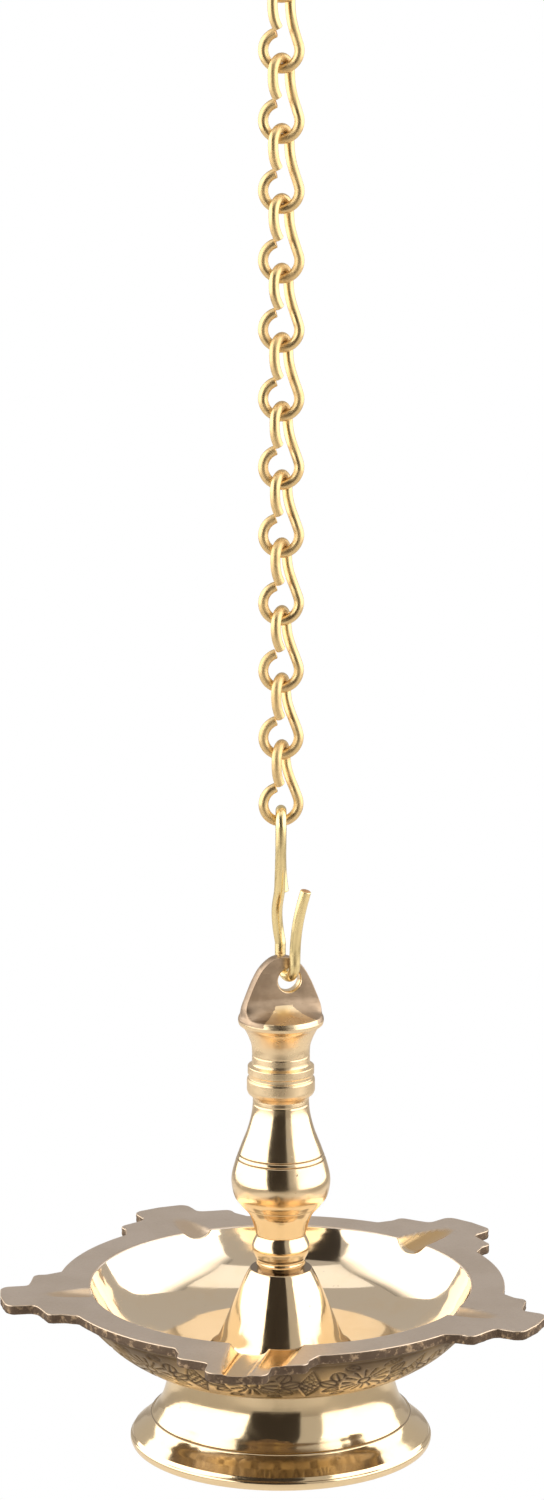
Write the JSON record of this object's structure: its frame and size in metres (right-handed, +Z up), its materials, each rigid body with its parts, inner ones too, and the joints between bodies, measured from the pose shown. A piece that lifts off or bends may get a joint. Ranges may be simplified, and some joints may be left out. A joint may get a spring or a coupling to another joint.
{
  "type": "hanging oil lamp",
  "caption": "Hanging brass oil lamp: a shallow spouted bowl on a flared foot, with a turned stem and pierced lug, hung by a wire hook from a chain of open wire links.",
  "frame": {"origin": "the hang point, the inside top of the top hook's crook, where a ceiling hook or nail carries it", "axes": "+Z up along the hanging chain; -Y is the front, the side the lug hole faces; +X is to the right seen from the front"},
  "size_m": [0.1099, 0.1099, 0.3405],
  "materials": {
    "chain_wire": "drawn wire, satin",
    "hook_wire": "drawn wire, bright satin",
    "turned_brass": "turned and polished",
    "cast_brass": "cast, polished inside, filed flat on the rim, chased underneath",
    "spun_brass": "turned and polished",
    "rod_brass": "machined",
    "washer_steel": "plain"
  },
  "bodies": {
    "top_hook": {"top_hook": "hook_wire"},
    "link_01": {"link_01": "chain_wire"},
    "link_02": {"link_02": "chain_wire"},
    "link_03": {"link_03": "chain_wire"},
    "link_04": {"link_04": "chain_wire"},
    "link_05": {"link_05": "chain_wire"},
    "link_06": {"link_06": "chain_wire"},
    "link_07": {"link_07": "chain_wire"},
    "link_08": {"link_08": "chain_wire"},
    "link_09": {"link_09": "chain_wire"},
    "link_10": {"link_10": "chain_wire"},
    "link_11": {"link_11": "chain_wire"},
    "link_12": {"link_12": "chain_wire"},
    "link_13": {"link_13": "chain_wire"},
    "lamp_hook": {"lamp_hook": "hook_wire"},
    "lamp": {"stem": "turned_brass", "pillar_cone": "turned_brass", "bowl": "cast_brass", "foot": "spun_brass", "tie_rod": "rod_brass", "washer": "washer_steel", "hex_nut": "rod_brass"}
  },
  "joints": [
    {"name": "link_01_swing", "type": "hinge", "parent": "top_hook", "child": "link_01", "pos_m": [0, 0, -0.028], "axis": [0.3746, 0.9272, 0], "range_deg": [-60, 60]},
    {"name": "link_02_swing", "type": "hinge", "parent": "link_01", "child": "link_02", "pos_m": [0, 0, -0.04585], "axis": [-0.8056, 0.5925, 0], "range_deg": [-60, 60]},
    {"name": "link_03_swing", "type": "hinge", "parent": "link_02", "child": "link_03", "pos_m": [0, 0, -0.0551], "axis": [-0.1449, -0.9894, 0], "range_deg": [-60, 60]},
    {"name": "link_04_swing", "type": "hinge", "parent": "link_03", "child": "link_04", "pos_m": [0, 0, -0.07305], "axis": [0.8387, -0.5446, 0], "range_deg": [-60, 60]},
    {"name": "link_05_swing", "type": "hinge", "parent": "link_04", "child": "link_05", "pos_m": [0, 0, -0.0823], "axis": [0.0872, 0.9962, 0], "range_deg": [-60, 60]},
    {"name": "link_06_swing", "type": "hinge", "parent": "link_05", "child": "link_06", "pos_m": [0, 0, -0.10025], "axis": [-0.8689, 0.495, 0], "range_deg": [-60, 60]},
    {"name": "link_07_swing", "type": "hinge", "parent": "link_06", "child": "link_07", "pos_m": [0, 0, -0.1095], "axis": [-0.0291, -0.9996, 0], "range_deg": [-60, 60]},
    {"name": "link_08_swing", "type": "hinge", "parent": "link_07", "child": "link_08", "pos_m": [0, 0, -0.12745], "axis": [0.8962, -0.4436, 0], "range_deg": [-60, 60]},
    {"name": "link_09_swing", "type": "hinge", "parent": "link_08", "child": "link_09", "pos_m": [0, 0, -0.1367], "axis": [-0.0291, 0.9996, 0], "range_deg": [-60, 60]},
    {"name": "link_10_swing", "type": "hinge", "parent": "link_09", "child": "link_10", "pos_m": [0, 0, -0.15465], "axis": [-0.9205, 0.3907, 0], "range_deg": [-60, 60]},
    {"name": "link_11_swing", "type": "hinge", "parent": "link_10", "child": "link_11", "pos_m": [0, 0, -0.1639], "axis": [0.0872, -0.9962, 0], "range_deg": [-60, 60]},
    {"name": "link_12_swing", "type": "hinge", "parent": "link_11", "child": "link_12", "pos_m": [0, 0, -0.18185], "axis": [0.9417, -0.3365, 0], "range_deg": [-60, 60]},
    {"name": "link_13_swing", "type": "hinge", "parent": "link_12", "child": "link_13", "pos_m": [0, 0, -0.1911], "axis": [-0.1449, 0.9894, 0], "range_deg": [-60, 60]},
    {"name": "lamp_hook_swing", "type": "hinge", "parent": "link_13", "child": "lamp_hook", "pos_m": [0, 0, -0.20865], "axis": [1, 0, 0], "range_deg": [-60, 60]},
    {"name": "lamp_swing", "type": "hinge", "parent": "lamp_hook", "child": "lamp", "pos_m": [0.00133, 0.00043, -0.24032], "axis": [0.309, -0.9511, 0], "range_deg": [-60, 60]}
  ]
}
